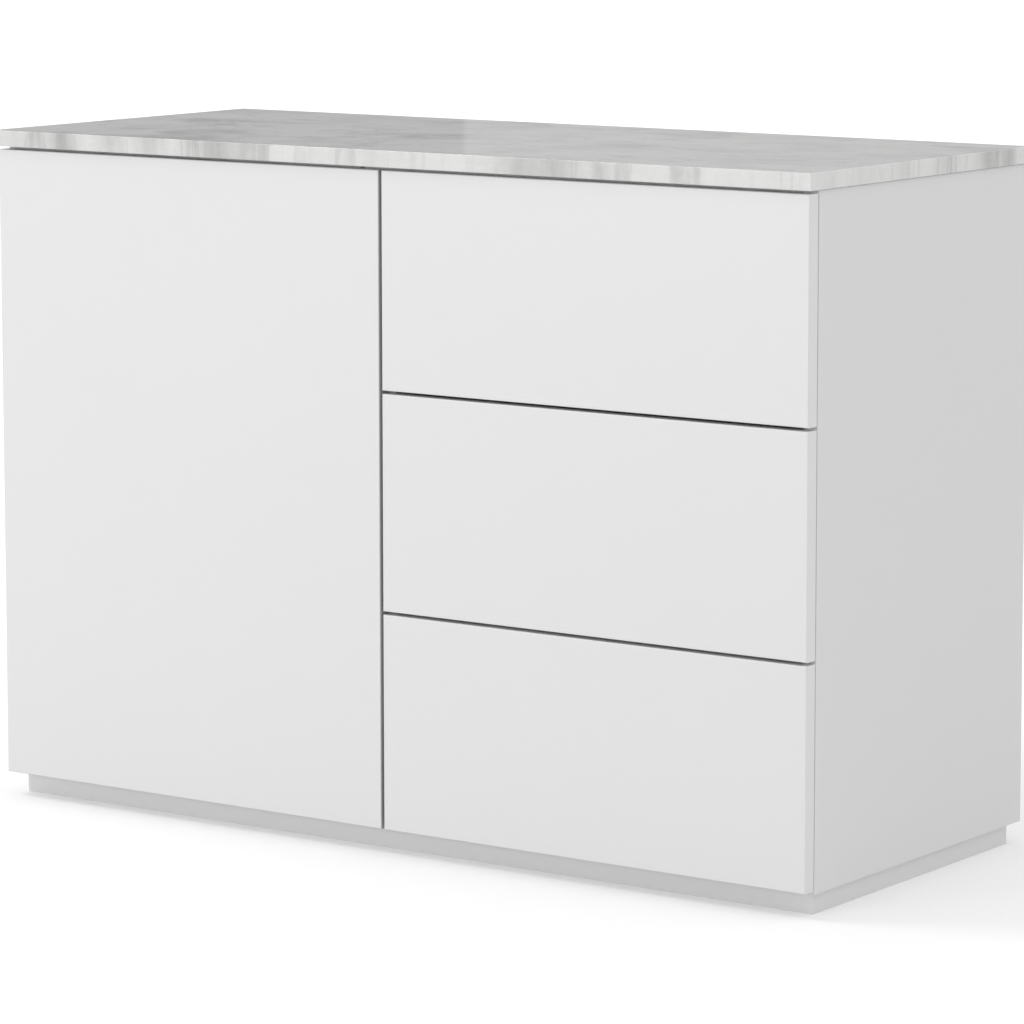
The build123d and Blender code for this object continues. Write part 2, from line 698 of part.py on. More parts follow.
for number in range(1, drawer_count + 1):
    front_z = drawer_fronts_bottom[number - 1]
    box_z = front_z + box_lift
    box_top = box_z + box_height
    slide_z = slide_heights[number - 1]
    bottom_z = box_z + drawer_bottom_rise
    bottom_limits = (bottom_z, bottom_z + drawer_bottom_thickness)
    screw_rows = (box_z + front_screw_inset, box_top - front_screw_inset)
    screw_points = [(x, front_back, z) for x in screw_columns for z in screw_rows]

    with BuildPart() as drawer_front:
        with BuildSketch(Plane.XZ.offset(-front_back)):
            with Locations(((front_left + side_outer) / 2, front_z + front_height / 2)):
                Rectangle(side_outer - front_left, front_height)
        extrude(amount=front_thickness)
        fillet(drawer_front.faces().sort_by(Axis.Y)[0].edges(), front_edge_radius)
        drill(facing(screw_points, BACK), front_screw_radius + bore_play, front_screw_bite + end_play)
    drawer_front.part.label = f"drawer_{number}_front"
    export_step(drawer_front.part, f"parts/drawer_{number}_front.step")

    with BuildPart() as drawer_inner_front:
        block((box_inner_left, box_inner_right), (front_back, inner_front_back), (box_z, box_top))
        block(
            (box_inner_left, box_inner_right),
            (inner_front_back - drawer_groove_depth, inner_front_back),
            bottom_limits,
            mode=Mode.SUBTRACT,
        )
        drill(facing(screw_points, BACK), front_screw_radius + bore_play, drawer_board, OUT)
    drawer_inner_front.part.label = f"drawer_{number}_inner_front"
    export_step(drawer_inner_front.part, f"parts/drawer_{number}_inner_front.step")

    for name, outer, inner in (("left", box_left, box_inner_left), ("right", box_right, box_inner_right)):
        groove_floor = inner + drawer_groove_depth * (-1 if name == "left" else 1)
        with BuildPart() as drawer_side:
            block((outer, inner), (front_back, box_back), (box_z, box_top))
            block((groove_floor, inner), (front_back, box_back), bottom_limits, mode=Mode.SUBTRACT)
        drawer_side.part.label = f"drawer_{number}_side_{name}"
        export_step(drawer_side.part, f"parts/drawer_{number}_side_{name}.step")

    with BuildPart() as drawer_bottom:
        block(
            (box_inner_left - groove_end, box_inner_right + groove_end),
            (inner_front_back - groove_end, box_back),
            bottom_limits,
        )
    drawer_bottom.part.label = f"drawer_{number}_bottom"
    export_step(drawer_bottom.part, f"parts/drawer_{number}_bottom.step")

    with BuildPart() as drawer_back:
        block((box_inner_left, box_inner_right), (inner_back_front, box_back), (bottom_limits[1], box_top))
    drawer_back.part.label = f"drawer_{number}_back"
    export_step(drawer_back.part, f"parts/drawer_{number}_back.step")

    with BuildPart() as drawer_front_screws:
        heads = facing([(x, inner_front_back, z) for x, _, z in screw_points], BACK)
        rod(heads, front_screw_radius, drawer_board + front_screw_bite)
        rod(heads, front_screw_head_radius, front_screw_head, OUT)
    drawer_front_screws.part.label = f"drawer_{number}_front_screws"
    export_step(drawer_front_screws.part, f"parts/drawer_{number}_front_screws.step")

    with BuildPart() as slide_middle:
        for wall, side in walls:
            offsets = (middle_web_offset, middle_flange_reach)
            channel(wall, side, slide_y, slide_z, offsets, middle_half_height, slide_sheet)
    slide_middle.part.label = f"slide_middle_{number}"
    export_step(slide_middle.part, f"parts/slide_middle_{number}.step")

    with BuildPart() as slide_inner:
        for wall, side in walls:
            offsets = (slide_thickness, inner_flange_offset)
            channel(wall, side, slide_y, slide_z, offsets, inner_half_height, slide_sheet)
    slide_inner.part.label = f"slide_inner_{number}"
    export_step(slide_inner.part, f"parts/slide_inner_{number}.step")

    with BuildPart() as latch_plunger:
        tips = facing([(side_middle, plunger_tip, drawer_latch_heights[number - 1])], BACK)
        rod(tips, plunger_radius, plunger_length, OUT)
    latch_plunger.part.label = f"latch_plunger_{number}"
    export_step(latch_plunger.part, f"parts/latch_plunger_{number}.step")
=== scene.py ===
# %% [markdown]
# # A stone-topped sideboard, finished in Blender
# The sideboard is 1.2 m wide: one door on the left, three drawers on the right, white lacquered
# fronts without handles, and a polished marble slab on top. Its boards, hinges and slides arrive as
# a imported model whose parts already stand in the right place. This lesson gives every part its
# finish, adds the small hardware that a maker would fit, and sets up a plain studio.
#
# Everything is in metres. The floor is at height 0, and the fronts face the minus Y direction.

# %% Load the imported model
import bpy
import bmesh
import json
import math
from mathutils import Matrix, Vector

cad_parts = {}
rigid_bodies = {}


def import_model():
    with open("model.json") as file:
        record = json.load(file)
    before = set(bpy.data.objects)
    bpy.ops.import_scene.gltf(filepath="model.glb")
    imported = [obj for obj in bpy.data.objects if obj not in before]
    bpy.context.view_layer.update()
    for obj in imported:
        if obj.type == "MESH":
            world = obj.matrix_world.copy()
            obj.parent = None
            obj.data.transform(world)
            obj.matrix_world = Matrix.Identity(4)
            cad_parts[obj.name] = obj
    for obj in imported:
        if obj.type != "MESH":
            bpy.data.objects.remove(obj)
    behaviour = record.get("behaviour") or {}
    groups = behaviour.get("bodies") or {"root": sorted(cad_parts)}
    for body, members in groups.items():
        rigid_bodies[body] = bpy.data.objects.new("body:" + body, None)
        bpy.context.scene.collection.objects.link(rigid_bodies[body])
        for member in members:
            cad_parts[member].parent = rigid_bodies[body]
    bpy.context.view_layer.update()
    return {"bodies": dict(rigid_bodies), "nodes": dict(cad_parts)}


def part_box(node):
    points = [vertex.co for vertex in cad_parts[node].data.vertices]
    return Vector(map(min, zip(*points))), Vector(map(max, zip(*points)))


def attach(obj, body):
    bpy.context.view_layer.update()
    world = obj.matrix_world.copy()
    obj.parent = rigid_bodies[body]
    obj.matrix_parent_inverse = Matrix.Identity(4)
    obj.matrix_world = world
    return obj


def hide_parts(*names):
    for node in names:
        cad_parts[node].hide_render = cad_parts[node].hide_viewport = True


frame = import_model()

# %% [markdown]
# ## The camera
# Furniture is usually shown from a few metres away with a long lens, so that the fronts stay almost
# square. A small downward tilt shows the top of the slab as a thin sliver. The tiny lens shift only
# slides the picture, and keeps the upright edges of the cabinet nearly parallel.

# %% Place the camera
eye = Vector((3.32531, -4.65876, 1.25599))
turned_left = math.radians(34.86)
tilted_down = math.radians(7.41)
lens = bpy.data.cameras.new("studio_camera")
lens.lens = 165.1
lens.sensor_width = 36.0
lens.shift_x = -0.0412
lens.shift_y = -0.1
lens.clip_start = 0.1
lens.clip_end = 200.0
camera = bpy.data.objects.new("studio_camera", lens)
camera.location = eye
camera.rotation_euler = (math.pi / 2 - tilted_down, 0.0, turned_left)
bpy.context.scene.collection.objects.link(camera)
bpy.context.scene.camera = camera
print("camera is", round(eye.length, 2), "m from the sideboard")

# %% [markdown]
# ## Two helpers for node trees
# Shaders and Geometry Nodes are both trees of nodes. `add` makes one node, sets its options and
# connects or fills its inputs in one go, so the recipes below read like a list of steps.

# %% Node helpers
def add(tree, kind, inputs=None, **options):
    """One new node: options are its settings, inputs are numbers or other nodes' sockets."""
    made = tree.nodes.new(kind)
    for name, value in options.items():
        setattr(made, name, value)
    for name, value in (inputs or {}).items():
        if isinstance(value, bpy.types.NodeSocket):
            tree.links.new(value, made.inputs[name])
        else:
            made.inputs[name].default_value = value
    return made


def sums(tree, operation, first, second=0.0, third=0.0, clamp=False):
    """The result of one Math node."""
    made = add(tree, "ShaderNodeMath", {0: first, 1: second, 2: third}, operation=operation)
    made.use_clamp = clamp
    return made.outputs[0]


def between(tree, value, low, high, to_low=0.0, to_high=1.0, smooth=True):
    """Stretches the part of a value between two limits over a new range."""
    made = add(tree, "ShaderNodeMapRange", {"Value": value, "From Min": low, "From Max": high,
                                            "To Min": to_low, "To Max": to_high})
    made.interpolation_type = "SMOOTHSTEP" if smooth else "LINEAR"
    return made.outputs["Result"]


def tint(tree, factor, first, second, way="MIX"):
    """Blends two colours by a factor."""
    made = add(tree, "ShaderNodeMix", {0: factor, 6: first, 7: second},
               data_type="RGBA", blend_type=way)
    return made.outputs[2]


def noise(tree, place, size, detail=2.0, roughness=0.5, distortion=0.0):
    """Cloudy noise whose lumps are about size metres across."""
    made = add(tree, "ShaderNodeTexNoise", {"Vector": place, "Scale": 1.0 / size, "Detail": detail,
                                            "Roughness": roughness, "Distortion": distortion})
    return made.outputs["Fac"]


def grey(value, warmth=0.0):
    """A nearly neutral colour: positive warmth leans to yellow, negative to blue."""
    return (value * (1 + warmth), value, value * (1 - 1.5 * warmth), 1.0)


print("helpers ready")

# %% [markdown]
# ## The studio
# The light is the soft, even kind used for a catalogue: a white room, a little dimmer in front,
# where a lamp adds its own light. A World shader can hold such a room. The direction of each ray is
# squared axis by axis, so the six sides of the room blend smoothly into each other. Behind the
# sideboard the room is dark near the horizon apart from one paler panel, whose straight edge shows
# as a reflection in the polished stone.

# %% Paint the room's light
room = bpy.data.worlds.new("studio_room")
room.use_nodes = True
bpy.context.scene.world = room
tree = room.node_tree
tree.nodes.clear()
direction = add(tree, "ShaderNodeTexCoord").outputs["Generated"]
axes = add(tree, "ShaderNodeSeparateXYZ", {0: direction})
sides = {"right": 1.05, "left": 1.0, "back": 1.0, "front": 0.63, "ceiling": 0.76, "ground": 0.5}
glow = 0.0
for axis, plus, minus in ((0, "right", "left"), (1, "back", "front"), (2, "ceiling", "ground")):
    part = axes.outputs[axis]
    squared = sums(tree, "MULTIPLY", part, part)
    facing_plus = sums(tree, "GREATER_THAN", part, 0.0)
    level = between(tree, facing_plus, 0.0, 1.0, sides[minus], sides[plus], smooth=False)
    glow = sums(tree, "MULTIPLY_ADD", squared, level, glow)
print("room sides:", sides)

# %% Darken the horizon behind and hang the paler panel there
ahead = Vector((-math.sin(turned_left), math.cos(turned_left), 0.0))
panel_edge = math.radians(-1.10)
edge_blur = 0.0006
beside_panel, on_panel = 0.36, 0.465
dark_below, clear_above = 0.22, 0.42
fades_in, fully_behind = 0.80, 0.93
white_backdrop = 1.1
edge_line = (ahead.y * math.cos(panel_edge) - ahead.x * math.sin(panel_edge),
             -ahead.x * math.cos(panel_edge) - ahead.y * math.sin(panel_edge), 0.0)
across = add(tree, "ShaderNodeVectorMath", {0: direction, 1: edge_line},
             operation="DOT_PRODUCT").outputs["Value"]
away = add(tree, "ShaderNodeVectorMath", {0: direction, 1: ahead},
           operation="DOT_PRODUCT").outputs["Value"]
low_down = between(tree, axes.outputs[2], dark_below, clear_above, 1.0, 0.0)
behind = between(tree, away, fades_in, fully_behind)
dark_part = sums(tree, "MULTIPLY", low_down, behind)
panel = between(tree, across, -edge_blur, edge_blur, beside_panel, on_panel)
mixed = add(tree, "ShaderNodeMix", {0: dark_part, 2: glow, 3: panel}, data_type="FLOAT").outputs[0]
seen = add(tree, "ShaderNodeLightPath").outputs["Is Camera Ray"]
shown = add(tree, "ShaderNodeMix", {0: seen, 2: mixed, 3: white_backdrop},
            data_type="FLOAT").outputs[0]
shine = add(tree, "ShaderNodeBackground", {"Color": (1, 1, 1, 1), "Strength": shown})
add(tree, "ShaderNodeOutputWorld", {"Surface": shine.outputs[0]})
print("panel edge direction:", [round(v, 4) for v in edge_line])

# %% [markdown]
# Two soft lamps give the light its directions. A wide one stands far in front and to the left,
# hardly above the cabinet, so that its light reaches in under the fronts. A smaller one hangs high
# on the left: it throws the faint shadow to the right, and its reflection runs as a thin bright
# line along the rounded upper edges of the fronts.

# %% Set up the two lamps
def soft_lamp(name, where, aim, width, height, power):
    """A rectangular lamp of a size in metres that faces a point."""
    lamp = bpy.data.lights.new(name, "AREA")
    lamp.shape = "RECTANGLE"
    lamp.size, lamp.size_y, lamp.energy = width, height, power
    stand = bpy.data.objects.new(name, lamp)
    stand.location = where
    stand.rotation_euler = (Vector(aim) - Vector(where)).to_track_quat("-Z", "Y").to_euler()
    bpy.context.scene.collection.objects.link(stand)
    print(name, "at", where, "with", power, "W")


soft_lamp("front_softbox", (-2.2, -6.0, 1.4), (0, 0, 0.3), width=2.6, height=1.6, power=70.0)
soft_lamp("overhead_softbox", (-2.7, -1.5, 4.2), (0, 0, 0.4), width=1.5, height=1.1, power=36.0)

# %% [markdown]
# The floor is a wide plain sheet, so large that its edge is too far off to notice. It throws back a
# little less light than it shows, which keeps the lower edges of the cabinet from glowing. A faint
# light of its own, which grows with the distance from the cabinet and shows only to the eye, makes
# it run out into plain white, as a lit paper sweep does.

# %% Lay the floor
half_floor = 60.0
floor_white, floor_bounce = 0.97, 0.80
sweep_starts, sweep_ends = 0.7, 1.9
near_glow, far_glow = 0.11, 0.40
corners = [(-half_floor, -half_floor, 0), (half_floor, -half_floor, 0),
           (half_floor, half_floor, 0), (-half_floor, half_floor, 0)]
floor_mesh = bpy.data.meshes.new("studio_floor")
floor_mesh.from_pydata(corners, [], [(0, 1, 2, 3)])
floor = bpy.data.objects.new("studio_floor", floor_mesh)
bpy.context.scene.collection.objects.link(floor)
floor_paint = bpy.data.materials.new("pale_floor_paint")
floor_paint.use_nodes = True
tree = floor_paint.node_tree
floor_shader = tree.nodes["Principled BSDF"]
floor_shader.inputs["Roughness"].default_value = 0.9
floor_shader.inputs["Specular IOR Level"].default_value = 0.0
looked_at = add(tree, "ShaderNodeLightPath").outputs["Is Camera Ray"]
paper = tint(tree, looked_at, grey(floor_bounce), grey(floor_white))
tree.links.new(paper, floor_shader.inputs["Base Color"])
floor_shader.inputs["Emission Color"].default_value = (1, 1, 1, 1)
spot = add(tree, "ShaderNodeTexCoord").outputs["Object"]
distance = add(tree, "ShaderNodeVectorMath", {0: spot}, operation="LENGTH").outputs["Value"]
sweep = between(tree, distance, sweep_starts, sweep_ends, near_glow, far_glow)
tree.links.new(sums(tree, "MULTIPLY", looked_at, sweep), floor_shader.inputs["Emission Strength"])
floor_mesh.materials.append(floor_paint)
bpy.context.scene.view_settings.view_transform = "Standard"
bpy.context.scene.view_settings.look = "None"
print("floor:", 2 * half_floor, "m square")

# %% [markdown]
# ## Effects that several finishes share
# Real surfaces are never one flat number. A *node group* packs an effect once, with named inputs,
# and each finish places it with its own values. `new_group` makes such a group with its sockets.

# %% Group helper
def new_group(name, takes, gives):
    """An empty shader group: takes maps input names to starting values, gives lists the outputs."""
    made = bpy.data.node_groups.new(name, "ShaderNodeTree")
    for label, value in takes.items():
        kind = "NodeSocketVector" if value is None else "NodeSocketFloat"
        socket = made.interface.new_socket(label, in_out="INPUT", socket_type=kind)
        if value is not None:
            socket.default_value = value
    for label in gives:
        made.interface.new_socket(label, in_out="OUTPUT", socket_type="NodeSocketFloat")
    return made, add(made, "NodeGroupInput"), add(made, "NodeGroupOutput")


def place_group(tree, group, **inputs):
    """Puts a group into a tree and fills its inputs; underscores in the names stand for spaces."""
    made = add(tree, "ShaderNodeGroup", node_tree=group)
    for label, value in inputs.items():
        socket = made.inputs[label.replace("_", " ").capitalize()]
        if isinstance(value, bpy.types.NodeSocket):
            tree.links.new(value, socket)
        else:
            socket.default_value = value
    return made


print("groups so far:", len(bpy.data.node_groups))

# %% [markdown]
# **Sprayed or pressed skin.** Lacquer dries with a very fine ripple called orange peel, and a
# laminate is pressed against a plate with fine pebbles. Both are small bumps of one size, with a
# slow drift in gloss over a hand's width. The group gives a height for bump, a shade that wanders a
# little round 1, and a gloss drift.

# %% Skin group
skin_takes = {"Place": None, "Ripple size": 0.0015, "Drift size": 0.25, "Shade swing": 0.02}
skin, skin_in, skin_out = new_group("fine_skin", skin_takes, ["Height", "Shade", "Drift"])
place = skin_in.outputs["Place"]
ripple = add(skin, "ShaderNodeTexNoise", {"Vector": place, "Detail": 1.0})
skin.links.new(sums(skin, "DIVIDE", 1.0, skin_in.outputs["Ripple size"]), ripple.inputs["Scale"])
drift = add(skin, "ShaderNodeTexNoise", {"Vector": place, "Detail": 3.0, "Roughness": 0.55})
skin.links.new(sums(skin, "DIVIDE", 1.0, skin_in.outputs["Drift size"]), drift.inputs["Scale"])
swing = sums(skin, "MULTIPLY", sums(skin, "SUBTRACT", drift.outputs["Fac"], 0.5),
             skin_in.outputs["Shade swing"])
skin.links.new(ripple.outputs["Fac"], skin_out.inputs["Height"])
skin.links.new(sums(skin, "ADD", 1.0, swing), skin_out.inputs["Shade"])
skin.links.new(drift.outputs["Fac"], skin_out.inputs["Drift"])
print("skin group:", [s.name for s in skin.interface.items_tree])

# %% [markdown]
# **Drawn metal.** Rolled strip and drawn wire carry long fine scratches in one direction. Noise
# that is squeezed across that direction gives streaks, and the place can be scaled before it comes
# in, so the same group serves slides that run front to back and hinges that run up and down.

# %% Drawn metal group
drawn, drawn_in, drawn_out = new_group("drawn_metal", {"Place": None, "Streak size": 0.0006},
                                       ["Streaks", "Stain"])
place = drawn_in.outputs["Place"]
streak = add(drawn, "ShaderNodeTexNoise", {"Vector": place, "Detail": 4.0, "Roughness": 0.6})
drawn.links.new(sums(drawn, "DIVIDE", 1.0, drawn_in.outputs["Streak size"]), streak.inputs["Scale"])
stain = noise(drawn, place, 0.012, 3.0, 0.6, 0.4)
drawn.links.new(streak.outputs["Fac"], drawn_out.inputs["Streaks"])
drawn.links.new(stain, drawn_out.inputs["Stain"])
print("metal group:", [s.name for s in drawn.interface.items_tree])

# %% [markdown]
# **Handling.** A used cabinet has a trace of dust on what faces up, and faint smears where hands
# and cloths go. The group gives both as masks.

# %% Handling group
handling, hand_in, hand_out = new_group("handling", {"Place": None, "Smear size": 0.09},
                                        ["Dust", "Smears"])
place = hand_in.outputs["Place"]
normal = add(handling, "ShaderNodeNewGeometry").outputs["Normal"]
upward = add(handling, "ShaderNodeSeparateXYZ", {0: normal})
specks = between(handling, noise(handling, place, 0.004, 4.0, 0.7), 0.45, 0.7)
dusty = sums(handling, "MULTIPLY", between(handling, upward.outputs[2], 0.6, 0.95), specks)
wipe = add(handling, "ShaderNodeTexNoise", {"Vector": place, "Detail": 5.0, "Roughness": 0.65,
                                            "Distortion": 1.2})
finer = sums(handling, "DIVIDE", 1.0, hand_in.outputs["Smear size"])
handling.links.new(finer, wipe.inputs["Scale"])
handling.links.new(dusty, hand_out.inputs["Dust"])
handling.links.new(between(handling, wipe.outputs["Fac"], 0.48, 0.72), hand_out.inputs["Smears"])
print("handling group:", [s.name for s in handling.interface.items_tree])

# %% [markdown]
# ## The finishes
# Each finish is a Principled shader with its fixed numbers set on its own sockets and its detail
# fed in by nodes. `new_finish` returns the material's tree, its shader, and the place of each
# surface point in metres.

# %% Finish helper
finishes = {}


def new_finish(slot, **numbers):
    """A material for one of the cabinet's finishes, with the shader's fixed numbers set."""
    made = bpy.data.materials.new(slot + "_finish")
    made.use_nodes = True
    tree = made.node_tree
    shader = tree.nodes["Principled BSDF"]
    for label, value in numbers.items():
        shader.inputs[label.replace("_", " ")].default_value = value
    finishes[slot] = made
    return tree, shader, add(tree, "ShaderNodeTexCoord").outputs["Object"]


def stretch(tree, place, scale):
    """Squeezes a pattern's axes: a larger number makes the pattern finer along that axis."""
    return add(tree, "ShaderNodeMapping", {"Vector": place, "Scale": scale}).outputs[0]


def paint(tree, shader, colour, rough, height=None, depth=0.0, strength=1.0):
    """Feeds colour, roughness and a bump of a real depth in metres into the shader."""
    tree.links.new(colour, shader.inputs["Base Color"])
    tree.links.new(rough, shader.inputs["Roughness"])
    if height is not None:
        bump = add(tree, "ShaderNodeBump", {"Height": height, "Distance": depth,
                                            "Strength": strength})
        tree.links.new(bump.outputs[0], shader.inputs["Normal"])


def shaded(tree, colour, shade):
    """A colour made lighter or darker by a number near 1."""
    level = add(tree, "ShaderNodeCombineColor", {0: shade, 1: shade, 2: shade}).outputs[0]
    return tint(tree, 1.0, colour, level, "MULTIPLY")


# %% [markdown]
# **Marble.** White marble is crushed and healed limestone: soft grey clouds a few centimetres
# across, gathered in some places and missing in others, crossed by thin darker veins that branch
# and fade. Layers of noise do it. A slow one decides where the clouds gather, a finer one draws
# them, and the thin band where another noise crosses its middle value becomes a vein. The pattern
# is drawn out upwards, the veins most of all, because the layers stand upright in the slab and show
# as soft columns in its edges. The first number of each stretch is negative, which only flips the
# pattern from left to right. The stone is polished, so it mirrors the room at a flat angle.

# %% Marble
cloud_stretch, vein_stretch = (-0.78, 1.0, 0.22), (-0.78, 1.0, 0.04)
hazy, cloudy, spotted = 0.45, 0.84, 0.52
clean_stone, hazy_stone = grey(0.80, 0.004), grey(0.67, 0.008)
cloud_grey, spot_grey, vein_grey = grey(0.37, 0.004), grey(0.35), grey(0.30)
# Each kind of vein: the size of its bends in metres, its half width and its darkness.
vein_kinds = ((0.26, 0.012, 0.36), (0.12, 0.016, 0.28), (0.055, 0.020, 0.16))
tree, shader, place = new_finish("slab_stone", IOR=1.5)
along = stretch(tree, place, cloud_stretch)
gather = between(tree, noise(tree, along, 0.30, 2.0, 0.5, 0.3), 0.42, 0.62)
clouds = between(tree, noise(tree, along, 0.080, 6.0, 0.50, 0.45), 0.43, 0.70)
clouds = sums(tree, "MULTIPLY", clouds, between(tree, gather, 0.0, 1.0, 0.30, 1.0))
spots = between(tree, noise(tree, along, 0.034, 5.0, 0.50, 0.40), 0.56, 0.76)
haze = between(tree, noise(tree, along, 0.15, 6.0, 0.62, 0.6), 0.35, 0.7)
mottle = noise(tree, place, 0.006, 4.0, 0.65)
upright = stretch(tree, place, vein_stretch)
veins = 0.0
for vein_size, half_width, darkness in vein_kinds:
    bends = noise(tree, upright, vein_size, 7.0, 0.56, 1.1)
    line = sums(tree, "ABSOLUTE", sums(tree, "SUBTRACT", bends, 0.5))
    fade = between(tree, noise(tree, upright, 0.8 * vein_size, 2.0), 0.44, 0.66, 0.0, darkness)
    vein = sums(tree, "MULTIPLY", between(tree, line, 0.0, half_width, 1.0, 0.0), fade)
    veins = sums(tree, "MAXIMUM", vein, veins)
colour = tint(tree, sums(tree, "MULTIPLY", haze, hazy), clean_stone, hazy_stone)
colour = tint(tree, sums(tree, "MULTIPLY", clouds, cloudy), colour, cloud_grey)
colour = tint(tree, sums(tree, "MULTIPLY", spots, spotted), colour, spot_grey)
colour = tint(tree, veins, colour, vein_grey)
colour = shaded(tree, colour, between(tree, mottle, 0.3, 0.7, 0.97, 1.03, smooth=False))
wear = place_group(tree, handling, place=place, smear_size=0.12)
rough = sums(tree, "MULTIPLY_ADD", wear.outputs["Smears"], 0.03, 0.04)
rough = sums(tree, "MULTIPLY_ADD", wear.outputs["Dust"], 0.02, rough)
paint(tree, shader, colour, rough, mottle, 0.00001)
print("marble nodes:", len(tree.nodes))

# %% [markdown]
# ** White lacquer.** The fronts are sprayed board: a closed satin film, smooth to the hand, with
# rounded edges. A coat layer gives the film its own soft shine over the matt white beneath. The
# narrow faces that meet in the upright joint beside the door are painted a darker grey: this is
# painted shade, standing in for the dark inside that narrow gap. The joint's place comes from the
# boxes of the fronts.

# %% White lacquer
# The second grey is painted shade for the narrow faces in the upright joint.
clean_lacquer, joint_shade_grey = grey(0.80, 0.001), grey(0.50, 0.004)
clear_of_joint, fade_width = 0.0003, 0.0006
tree, shader, place = new_finish("white_lacquer", Coat_Weight=0.25, Coat_Roughness=0.22)
film = place_group(tree, skin, place=place, ripple_size=0.0022, drift_size=0.35, shade_swing=0.018)
wear = place_group(tree, handling, place=place, smear_size=0.16)
rough = between(tree, film.outputs["Drift"], 0.3, 0.7, 0.34, 0.42, smooth=False)
rough = sums(tree, "MULTIPLY_ADD", wear.outputs["Smears"], 0.05, rough)
door_side, drawer_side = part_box("door_panel")[1][0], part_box("drawer_1_front")[0][0]
joint_middle, joint_half = (door_side + drawer_side) / 2, (drawer_side - door_side) / 2
sideways = add(tree, "ShaderNodeSeparateXYZ", {0: place}).outputs[0]
off_line = sums(tree, "ABSOLUTE", sums(tree, "SUBTRACT", sideways, joint_middle))
joint_shade_ends = joint_half + clear_of_joint
# Painted shade: this mask darkens the narrow faces that lie within the upright joint.
painted_joint_shade = between(tree, off_line, joint_shade_ends, joint_shade_ends + fade_width, 1.0, 0.0)
print("upright joint at", round(joint_middle, 4), "m,", round(2 * joint_half, 4), "m wide")
lacquer_and_joint_shade = tint(tree, painted_joint_shade, clean_lacquer, joint_shade_grey)
paint(tree, shader, shaded(tree, lacquer_and_joint_shade, film.outputs["Shade"]), rough,
      film.outputs["Height"], 0.00001)
print("lacquer nodes:", len(tree.nodes))

# %% [markdown]
# **Melamine board.** The carcass and the boxes inside are chipboard faced with white paper and
# resin, pressed with a faint pebble. It is a little less bright and duller than the lacquer.

# %% Melamine boards
dust_grey = grey(0.55, 0.03)
for slot, level, warmth, pebble in (("carcass_white", 0.775, 0.001, 0.0011),
                                    ("white_board", 0.76, 0.004, 0.0008)):
    tree, shader, place = new_finish(slot, Specular_IOR_Level=0.42)
    film = place_group(tree, skin, place=place, ripple_size=pebble, drift_size=0.4,
                       shade_swing=0.022)
    wear = place_group(tree, handling, place=place, smear_size=0.2)
    rough = between(tree, film.outputs["Drift"], 0.3, 0.7, 0.46, 0.56, smooth=False)
    rough = sums(tree, "MULTIPLY_ADD", wear.outputs["Smears"], 0.05, rough)
    colour = shaded(tree, grey(level, warmth), film.outputs["Shade"])
    colour = tint(tree, sums(tree, "MULTIPLY", wear.outputs["Dust"], 0.05), colour, dust_grey)
    paint(tree, shader, colour, rough, film.outputs["Height"], 0.00003)
    print(slot, "nodes:", len(tree.nodes))

# %% [markdown]
# **Steel and zinc.** The slides are galvanised strip, drawn front to back. The hinges are bright
# nickel, the screws have a thin bluish zinc coat, and the cams are cast zinc with a dull grain.
# All of them come from the same drawn metal group with different colours, sizes and directions.

# %% Metals
# For each slot: its bright and dull colour, the squeeze of its streaks along each axis, their size
# in metres and its range of roughness.
metals = {
    "slide_steel": (grey(0.60, 0.006), grey(0.50, 0.0), (1.0, 0.04, 1.0), 0.0007, (0.26, 0.42)),
    "hinge_steel": (grey(0.66, 0.018), grey(0.55, 0.01), (1.0, 1.0, 0.08), 0.0005, (0.16, 0.30)),
    "screw_steel": (grey(0.62, -0.015), grey(0.52, 0.02), (1.0, 1.0, 1.0), 0.0006, (0.24, 0.38)),
    "cam_zinc": (grey(0.48, -0.008), grey(0.40, 0.0), (1.0, 1.0, 1.0), 0.0009, (0.42, 0.58)),
}
for slot, (bright, dull, squeeze, size, gloss) in metals.items():
    tree, shader, place = new_finish(slot, Metallic=1.0)
    marks = place_group(tree, drawn, place=stretch(tree, place, squeeze), streak_size=size)
    colour = tint(tree, between(tree, marks.outputs["Stain"], 0.35, 0.7), bright, dull)
    rough = between(tree, marks.outputs["Streaks"], 0.25, 0.75, *gloss, smooth=False)
    paint(tree, shader, colour, rough, marks.outputs["Streaks"], 0.00001, 0.6)
    print(slot, "nodes:", len(tree.nodes))

# %% [markdown]
# **Beech dowels.** Beech is pale pinkish brown with short dark flecks along the grain.

# %% Beech
tree, shader, place = new_finish("dowel_beech", Specular_IOR_Level=0.3)
grain = noise(tree, stretch(tree, place, (0.1, 1.0, 1.0)), 0.0012, 4.0, 0.6)
flecks = between(tree, noise(tree, stretch(tree, place, (0.25, 1.0, 1.0)), 0.0008, 2.0), 0.60, 0.68)
colour = tint(tree, grain, (0.56, 0.36, 0.21, 1), (0.46, 0.27, 0.14, 1))
colour = tint(tree, sums(tree, "MULTIPLY", flecks, 0.5), colour, (0.26, 0.13, 0.07, 1))
paint(tree, shader, colour, between(tree, grain, 0.2, 0.8, 0.55, 0.75), grain, 0.00005)
print("beech nodes:", len(tree.nodes))

# %% [markdown]
# **Moulded plastic.** The push latches are grey nylon with white plungers. A spark-eroded mould
# leaves an even, fine grain, which the skin group gives at a smaller size.

# %% Plastics
for slot, level, warmth in (("latch_plastic", 0.30, -0.01), ("plunger_plastic", 0.70, 0.006)):
    tree, shader, place = new_finish(slot, Specular_IOR_Level=0.45)
    film = place_group(tree, skin, place=place, ripple_size=0.0004, drift_size=0.02,
                       shade_swing=0.05)
    rough = between(tree, film.outputs["Drift"], 0.3, 0.7, 0.40, 0.52, smooth=False)
    paint(tree, shader, shaded(tree, grey(level, warmth), film.outputs["Shade"]), rough,
          film.outputs["Height"], 0.00002)
    print(slot, "nodes:", len(tree.nodes))

# %% [markdown]
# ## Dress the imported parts
# Each part arrives with a plain stand-in material that is named after its finish. The part's own
# mesh is left as it is: only the material in its slot is exchanged.

